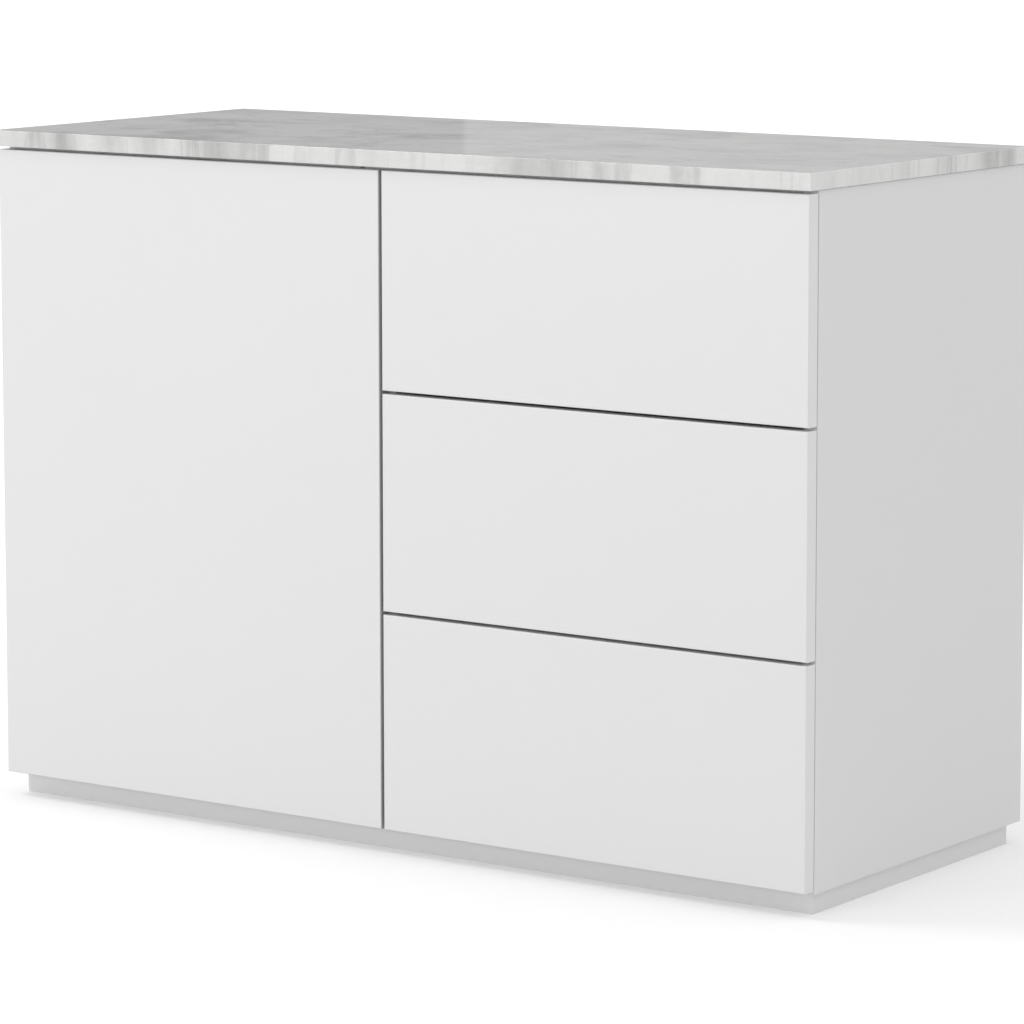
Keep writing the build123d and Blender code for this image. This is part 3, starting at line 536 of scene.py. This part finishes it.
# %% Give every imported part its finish
finish_of = {name: part.material_slots[0].material.name for name, part in frame["nodes"].items()}
for name, part in frame["nodes"].items():
    for pocket in part.material_slots:
        pocket.material = finishes[pocket.material.name]
print("finishes used:", sorted(set(finish_of.values())))

# %% [markdown]
# ## Small hardware
# Screws, bearing balls and stop dots repeat many times, so each is modelled once and *Geometry
# Nodes* put the copies in place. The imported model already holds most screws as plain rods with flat
# heads. To know where they are, `lumps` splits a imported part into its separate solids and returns
# each one's box, in the same metres as everything else.

# %% Find the separate solids of a part
MM = 0.001


def lumps(name):
    """The separate solids of a part, each as its lowest and highest corner and its points."""
    work = bmesh.new()
    work.from_mesh(frame["nodes"][name].data)
    bmesh.ops.remove_doubles(work, verts=work.verts, dist=0.01 * MM)
    found, seen = [], set()
    for start in work.verts:
        if start in seen:
            continue
        group, waiting = [], [start]
        seen.add(start)
        while waiting:
            vert = waiting.pop()
            group.append(vert.co.copy())
            for edge in vert.link_edges:
                other = edge.other_vert(vert)
                if other not in seen:
                    seen.add(other)
                    waiting.append(other)
        low = Vector([min(p[axis] for p in group) for axis in range(3)])
        high = Vector([max(p[axis] for p in group) for axis in range(3)])
        found.append((low, high, group))
    work.free()
    return found


def heads(name, head_height):
    """Where each screw's head starts and which way it faces, from the wider end of its rod."""
    places = []
    for low, high, points in lumps(name):
        size = high - low
        axis = max(range(3), key=lambda a: size[a])
        across = (axis + 1) % 3
        middle = (low + high) / 2
        spread = {end: max(abs(p[across] - middle[across]) for p in points
                           if abs(p[axis] - end[axis]) < 0.1 * MM)
                  for end in (low.freeze(), high.freeze())}
        top = max(spread, key=spread.get)
        way = 1.0 if top[axis] > middle[axis] else -1.0
        facing = Vector((0, 0, 0))
        facing[axis] = way
        place = middle.copy()
        place[axis] = top[axis] - way * head_height
        places.append((place, facing))
    return places


plate_screws = heads("euro_screws", head_height=1.6 * MM)
cup_screws = heads("hinge_cup_screws", head_height=1.1 * MM)
print("screws in the carcass:", len(plate_screws), "in the hinge cups:", len(cup_screws))

# %% [markdown]
# **One screw.** A screw is a turned shape: a list of radii and heights swept round an axis. The
# cross in its head is not cut out afterwards. With 24 sides, 15 degrees apart, the corners of a
# slim cross fall exactly on the sides' directions, so the last ring of the turned shape simply
# follows the cross, and one more ring below it makes the recess. Every face stays a clean quad.

# %% Turn a screw
def cross_reach(turn, reach):
    """How far a cross of a given reach extends in a direction, in degrees."""
    turn = (turn + 45.0) % 90.0 - 45.0
    half_width = reach * math.tan(math.radians(15))
    if abs(turn) <= 15.01:
        return reach / math.cos(math.radians(turn))
    return half_width / math.sin(math.radians(abs(turn)))


def turned_screw(name, rings, reach, sink):
    """A screw from rings of (radius, height) in mm, tip first, with a cross recess in its head."""
    sides = 24
    work = bmesh.new()
    loops = []
    top = rings[-1][1]
    outline = [(None, 1.0, top), (None, 0.62, top - sink)]
    for radius, share, height in [(r, 1.0, h) for r, h in rings] + outline:
        loop = []
        for side in range(sides):
            turn = side * 360.0 / sides
            far = radius if radius is not None else share * cross_reach(turn, reach)
            angle = math.radians(turn)
            loop.append(work.verts.new((far * math.cos(angle) * MM, far * math.sin(angle) * MM,
                                        height * MM)))
        loops.append(loop)
    for lower, upper in zip(loops, loops[1:]):
        for side in range(sides):
            after = (side + 1) % sides
            work.faces.new((lower[side], lower[after], upper[after], upper[side]))
    work.faces.new(list(reversed(loops[0])))
    work.faces.new(loops[-1])
    for edge in work.edges:
        edge.smooth = edge.calc_face_angle(0.0) < math.radians(35)
    for face in work.faces:
        face.smooth = True
    mesh = bpy.data.meshes.new(name)
    work.to_mesh(mesh)
    work.free()
    return bpy.data.objects.new(name, mesh)


def screw_rings(shank, length, head, height):
    """A pan-head screw: a point, a shank with a few thread rings, and a domed head."""
    rings = [(0.25 * shank, -length), (0.8 * shank, -length + 1.5)]
    threads = 4
    pitch = (length - 3.0) / threads
    for step in range(threads):
        z = -length + 2.2 + step * pitch
        rings += [(shank, z), (0.82 * shank, z + pitch / 2)]
    rings += [(0.9 * shank, 0.0), (0.97 * head, 0.0), (head, 0.15 * height), (head, 0.55 * height)]
    return rings + [(0.93 * head, 0.82 * height), (0.80 * head, height)]


# The rings take the shank's radius, its length, the head's radius and the head's height. The last
# two numbers are the reach and the depth of the cross.
screw_kinds = {
    "plate_screw": turned_screw("plate_screw", screw_rings(3.1, 13.0, 4.2, 1.6), 2.5, 1.3),
    "cup_screw": turned_screw("cup_screw", screw_rings(1.75, 13.0, 3.3, 1.1), 1.9, 0.8),
    "front_screw": turned_screw("front_screw", screw_rings(1.75, 28.0, 3.5, 2.0), 2.0, 1.5),
    "slide_screw": turned_screw("slide_screw", screw_rings(1.6, 8.0, 3.0, 1.1), 1.7, 0.8),
    "adjusting_screw": turned_screw("adjusting_screw", screw_rings(2.4, 3.0, 3.3, 1.2), 2.0, 0.9),
}
print("faces per screw:", {name: len(kind.data.polygons) for name, kind in screw_kinds.items()})

# %% [markdown]
# **Copies on points.** The tree takes a cloud of points that carry a direction called *facing*. It
# sets a copy of one object on each point, turns it to face that way, and gives each a small random
# twist with a fixed seed, because no two screws stop at the same angle. Then it makes the copies
# real and gives them their finish.

# %% Tree that sets hardware on points
def new_tree(name, inputs):
    """A Geometry Nodes tree with named inputs, its two end nodes and the names of its sockets."""
    tree = bpy.data.node_groups.new(name, "GeometryNodeTree")
    tree.interface.new_socket("Geometry", in_out="INPUT", socket_type="NodeSocketGeometry")
    tree.interface.new_socket("Geometry", in_out="OUTPUT", socket_type="NodeSocketGeometry")
    keys = {}
    for label, kind in inputs.items():
        keys[label] = tree.interface.new_socket(label, in_out="INPUT", socket_type=kind).identifier
    return tree, add(tree, "NodeGroupInput"), add(tree, "NodeGroupOutput"), keys


def finish_tree(tree, shape, group_in, group_out):
    """Ends a tree: copies are made real and get their finish."""
    real = add(tree, "GeometryNodeRealizeInstances", {"Geometry": shape})
    done = add(tree, "GeometryNodeSetMaterial", {"Geometry": real.outputs[0],
                                                 "Material": group_in.outputs["Finish"]})
    tree.links.new(done.outputs[0], group_out.inputs["Geometry"])


setting, set_in, set_out, setting_keys = new_tree("hardware_on_points", {
    "Hardware": "NodeSocketObject", "Twist": "NodeSocketFloat", "Seed": "NodeSocketInt",
    "Finish": "NodeSocketMaterial"})
facing = add(setting, "GeometryNodeInputNamedAttribute", {"Name": "facing"},
             data_type="FLOAT_VECTOR")
turn = add(setting, "FunctionNodeAlignRotationToVector", {"Vector": facing.outputs["Attribute"]},
           axis="Z")
model = add(setting, "GeometryNodeObjectInfo", {"Object": set_in.outputs["Hardware"]})
copies = add(setting, "GeometryNodeInstanceOnPoints", {
    "Points": set_in.outputs["Geometry"], "Instance": model.outputs["Geometry"],
    "Rotation": turn.outputs[0]})
twist = add(setting, "FunctionNodeRandomValue",
            {"Min": 0.0, "Max": 1.0, "Seed": set_in.outputs["Seed"]}, data_type="FLOAT")
angle = sums(setting, "MULTIPLY", twist.outputs["Value"], set_in.outputs["Twist"])
angles = add(setting, "ShaderNodeCombineXYZ", {2: angle})
spin = add(setting, "FunctionNodeEulerToRotation", {0: angles.outputs[0]})
turned = add(setting, "GeometryNodeRotateInstances", {"Instances": copies.outputs[0],
                                                      "Rotation": spin.outputs[0]})
finish_tree(setting, turned.outputs[0], set_in, set_out)
print("tree inputs:", list(setting_keys))

# %% [markdown]
# **From a tree to a plain mesh.** `point_cloud` writes the points with their directions. `grow`
# puts a tree on them as a modifier, keeps what it makes as a plain mesh, and takes the modifier off
# again, so that the piece is a finished shape before it is told which body it rides on.

# %% Helpers that run a tree and keep its result
def point_cloud(name, places):
    """A mesh of loose points, each with the direction it faces."""
    mesh = bpy.data.meshes.new(name)
    mesh.from_pydata([tuple(place) for place, _ in places], [], [])
    ways = mesh.attributes.new("facing", "FLOAT_VECTOR", "POINT")
    for index, (_, way) in enumerate(places):
        ways.data[index].vector = way
    piece = bpy.data.objects.new(name, mesh)
    bpy.context.scene.collection.objects.link(piece)
    return piece


def grow(piece, tree, keys, values, body, slot):
    """Runs a tree on a piece, keeps the result as a plain mesh, and lets it ride on a body."""
    work = piece.modifiers.new("grow", "NODES")
    work.node_group = tree
    for label, value in dict(values, Finish=finishes[slot]).items():
        work[keys[label]] = value
    graph = bpy.context.evaluated_depsgraph_get()
    plain = bpy.data.meshes.new_from_object(piece.evaluated_get(graph))
    piece.modifiers.clear()
    piece.data = plain
    plain.name = piece.name
    for left_over in [a.name for a in plain.attributes if a.name == "facing"]:
        plain.attributes.remove(plain.attributes[left_over])
    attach(piece, body)
    print(piece.name, "rides on", body, "with", len(plain.polygons), "faces")
    return piece


def set_hardware(name, places, kind, body, slot, seed, twist=2 * math.pi):
    """Copies one piece of hardware onto a list of places."""
    values = {"Hardware": kind, "Twist": twist, "Seed": seed}
    return grow(point_cloud(name, places), setting, setting_keys, values, body, slot)


print("trees ready:", [group.name for group in bpy.data.node_groups if "hardware" in group.name])

# %% [markdown]
# **Screws of the hinges, slides and drawer fronts.** The detailed screws take over from the packed
# rods, which are then not shown. The slides' inner members need screws too: three on each side hold
# them to the drawer box, with low heads that clear the middle member.

# %% Set the screws
plate = set_hardware("carcass_screws", plate_screws, screw_kinds["plate_screw"], "carcass",
                     "screw_steel", seed=3)
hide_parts("euro_screws")
cups = set_hardware("cup_screw_set", cup_screws, screw_kinds["cup_screw"], "door",
                    "screw_steel", seed=5)
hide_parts("hinge_cup_screws")
drawers = sorted(body for body in frame["bodies"] if body.startswith("drawer_"))
inner_web = 5.5 * MM
slide_holes = (35 * MM, 190 * MM, 352 * MM)
for number, drawer in enumerate(drawers, 1):
    rods = f"{drawer}_front_screws"
    fronts = set_hardware(f"{drawer}_front_screw_set", heads(rods, head_height=2.0 * MM),
                          screw_kinds["front_screw"], drawer, "screw_steel", seed=10 + number)
    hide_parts(rods)
    low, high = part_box(f"slide_inner_{number}")
    height = (low[2] + high[2]) / 2
    places = []
    for hole in slide_holes:
        left = Vector((low[0] + inner_web, low[1] + hole, height))
        right = Vector((high[0] - inner_web, low[1] + hole, height))
        places += [(left, Vector((-1, 0, 0))), (right, Vector((1, 0, 0)))]
    set_hardware(f"{drawer}_slide_screws", places, screw_kinds["slide_screw"], drawer,
                 "screw_steel", seed=20 + number)

# %% [markdown]
# **Hinge adjusting screws.** A concealed hinge has two screws in its arm: the front one moves the
# door sideways, the back one clamps the arm to its plate.

# %% Set the adjusting screws
shortest_arm = 60 * MM
from_arm_back = (11 * MM, 38 * MM)
sunk = 2.0 * MM
places = []
for low, high, _ in lumps("hinge_arms"):
    if high.y - low.y > shortest_arm:
        for from_back in from_arm_back:
            place = Vector((high.x - sunk, high.y - from_back, (low.z + high.z) / 2))
            places.append((place, Vector((1, 0, 0))))
set_hardware("hinge_adjusting_screws", places, screw_kinds["adjusting_screw"], "carcass",
             "screw_steel", seed=31)

# %% [markdown]
# **Stop dots.** Small soft domes behind the fronts take up the last of the gap to the carcass, so
# that a front closes without a knock. They sit in the corners, over the carcass's front edges.

# %% Turn a dot and set four behind each front
def stop_dot(name, radius, height):
    """A low dome on a flat base."""
    rings = [(radius, 0.0), (radius, 0.25 * height), (0.92 * radius, 0.6 * height),
             (0.70 * radius, 0.86 * height), (0.36 * radius, 0.97 * height)]
    sides = 16
    turns = [2 * math.pi * side / sides for side in range(sides)]
    work = bmesh.new()
    loops = [[work.verts.new((r * math.cos(turn) * MM, r * math.sin(turn) * MM, h * MM))
              for turn in turns] for r, h in rings]
    for lower, upper in zip(loops, loops[1:]):
        for side in range(sides):
            after = (side + 1) % sides
            work.faces.new((lower[side], lower[after], upper[after], upper[side]))
    work.faces.new(list(reversed(loops[0])))
    work.faces.new(loops[-1])
    for face in work.faces:
        face.smooth = len(face.verts) == 4
    mesh = bpy.data.meshes.new(name)
    work.to_mesh(mesh)
    work.free()
    return bpy.data.objects.new(name, mesh)


dot = stop_dot("stop_dot", radius=4.0, height=1.5)
inner, from_end = 4.5 * MM, 22 * MM
side_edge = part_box("side_panel_right")
panel_middle = (side_edge[0][0] + side_edge[1][0]) / 2
for body, front in [("door", "door_panel")] + [(drawer, f"{drawer}_front") for drawer in drawers]:
    low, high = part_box(front)
    columns = (-panel_middle, high[0] - inner) if body == "door" else (low[0] + inner, panel_middle)
    places = [(Vector((x, high[1], z)), Vector((0, 1, 0))) for x in columns
              for z in (low[2] + from_end, high[2] - from_end)]
    set_hardware(f"{body}_stop_dots", places, dot, body, "plunger_plastic", seed=40, twist=0.0)

# %% [markdown]
# **Bearing balls and their cages.** A full-extension slide runs on rows of small balls between its
# members. The balls sit in a folded strip, the cage, which keeps them apart. Each middle member
# carries two cages: one in its rear half, towards the cabinet, and one in its front half, towards
# the drawer. These halves always overlap their neighbours, however far the drawer is out.
#
# A row of balls is a rule, so a second tree makes it: a line of points from each start point, and
# a low ball on every point.

# %% Tree that makes rows of balls
rows, rows_in, rows_out, rows_keys = new_tree("ball_rows", {
    "Count": "NodeSocketInt", "Pitch": "NodeSocketFloat", "Ball radius": "NodeSocketFloat",
    "Finish": "NodeSocketMaterial"})
step = add(rows, "ShaderNodeCombineXYZ", {1: rows_in.outputs["Pitch"]})
line = add(rows, "GeometryNodeMeshLine", {"Count": rows_in.outputs["Count"],
                                          "Offset": step.outputs[0]})
lines = add(rows, "GeometryNodeInstanceOnPoints", {"Points": rows_in.outputs["Geometry"],
                                                   "Instance": line.outputs[0]})
spots = add(rows, "GeometryNodeRealizeInstances", {"Geometry": lines.outputs[0]})
ball = add(rows, "GeometryNodeMeshUVSphere", {"Segments": 10, "Rings": 6,
                                              "Radius": rows_in.outputs["Ball radius"]})
soft = add(rows, "GeometryNodeSetShadeSmooth", {"Geometry": ball.outputs["Mesh"]})
balls = add(rows, "GeometryNodeInstanceOnPoints", {"Points": spots.outputs[0],
                                                   "Instance": soft.outputs[0]})
finish_tree(rows, balls.outputs[0], rows_in, rows_out)
print("tree inputs:", list(rows_keys))

# %% [markdown]
# A cage is one folded strip, so it needs no tree: its outline is drawn at both ends and joined from
# end to end.

# %% Fill each middle slide with balls and cages
def cage_strip(work, wall, side, web, tip, half_height, near, far):
    """A folded strip with its back at web and its edges at tip, measured from the wall in mm."""
    sheet = 0.5
    outer, inner = half_height + sheet / 2, half_height - sheet / 2
    outline = [(web, outer), (tip, outer), (tip, inner), (web + sheet, inner),
               (web + sheet, -inner), (tip, -inner), (tip, -outer), (web, -outer)]
    ends = []
    for y in (near, far):
        ends.append([work.verts.new((wall[0] + side * x * MM, y, wall[1] + z * MM))
                     for x, z in outline])
    for corner in range(8):
        after = (corner + 1) % 8
        work.faces.new((ends[0][corner], ends[0][after], ends[1][after], ends[1][corner]))
    for end in ends:
        work.faces.new((end[0], end[1], end[2], end[3]))
        work.faces.new((end[4], end[5], end[6], end[7]))
        work.faces.new((end[0], end[3], end[4], end[7]))


# For each cage: its back and its edges, its rows' distance from the middle and the balls' offset,
# all in mm, and the part of the middle member's length after which it starts.
cages = ((1.9, 8.4, 19.4, 6.4, 0.52), (5.0, 10.2, 14.4, 8.4, 0.06))
cage_share = 0.42
lip = 3.5 * MM
first_ball = 8 * MM
for number in range(1, len(drawers) + 1):
    low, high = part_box(f"slide_middle_{number}")
    height = (low[2] + high[2]) / 2
    length = high[1] - low[1]
    walls = ((low[0] - lip, 1), (high[0] + lip, -1))
    starts, work = [], bmesh.new()
    for wall, side in walls:
        for web, tip, reach, offset, start in cages:
            near = low[1] + start * length
            far = near + cage_share * length
            cage_strip(work, (wall, height), side, web, tip, reach, near, far)
            for up in (-reach, reach):
                place = Vector((wall + side * offset * MM, near + first_ball, height + up * MM))
                starts.append((place, Vector((0, 0, 1))))
    bmesh.ops.recalc_face_normals(work, faces=work.faces)
    strip = bpy.data.meshes.new(f"slide_cages_{number}")
    work.to_mesh(strip)
    work.free()
    strip.materials.append(finishes["slide_steel"])
    cage = bpy.data.objects.new(f"slide_cages_{number}", strip)
    bpy.context.scene.collection.objects.link(cage)
    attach(cage, f"middle_slide_{number}")
    grow(point_cloud(f"slide_balls_{number}", starts), rows, rows_keys,
         {"Count": 10, "Pitch": 16.8 * MM, "Ball radius": 1.75 * MM}, f"middle_slide_{number}",
         "screw_steel")

# %% [markdown]
# ** Bead under the slab.** A thin grey bead closes the corner between the slab's underside and the
# carcass along both sides, where it can be seen. Its dark grey is painted shade: it stands in for
# the thin shadow line under the slab's edge. It follows a path, so a third tree sweeps a small
# profile along that path.

# %% Tree that sweeps a bead along a path
bead, bead_in, bead_out, bead_keys = new_tree("bead_on_path", {
    "Thickness": "NodeSocketFloat", "Finish": "NodeSocketMaterial"})
path = add(bead, "GeometryNodeMeshToCurve", {"Mesh": bead_in.outputs["Geometry"]})
profile = add(bead, "GeometryNodeCurvePrimitiveCircle", {
    "Resolution": 8, "Radius": bead_in.outputs["Thickness"]})
swept = add(bead, "GeometryNodeCurveToMesh", {
    "Curve": path.outputs[0], "Profile Curve": profile.outputs[0], "Fill Caps": True})
finish_tree(bead, swept.outputs[0], bead_in, bead_out)
print("tree inputs:", list(bead_keys))

# %% Lay the bead
slab_low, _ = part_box("top_slab")
left_low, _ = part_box("side_panel_left")
_, right_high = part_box("side_panel_right")
half = 0.45 * MM
z = slab_low[2] - half
x_left, x_right, y_front = left_low[0] - half, right_high[0] + half, left_low[1]
path_mesh = bpy.data.meshes.new("slab_sealing_bead")
path_mesh.from_pydata([(x_left, y_front, z), (x_left, right_high[1], z),
                       (x_right, right_high[1], z), (x_right, y_front, z)], [(0, 1), (2, 3)], [])
shade_line_bead = bpy.data.objects.new("slab_sealing_bead", path_mesh)
bpy.context.scene.collection.objects.link(shade_line_bead)
# Painted shade: the bead's dark grey stands in for the shadow line under the slab's edge.
grow(shade_line_bead, bead, bead_keys, {"Thickness": half}, "carcass", "latch_plastic")

# %% [markdown]
# The models that were copied are no longer needed, so they are taken out again.

# %% Put the patterns away
for pattern in [*screw_kinds.values(), dot]:
    bpy.data.objects.remove(pattern)
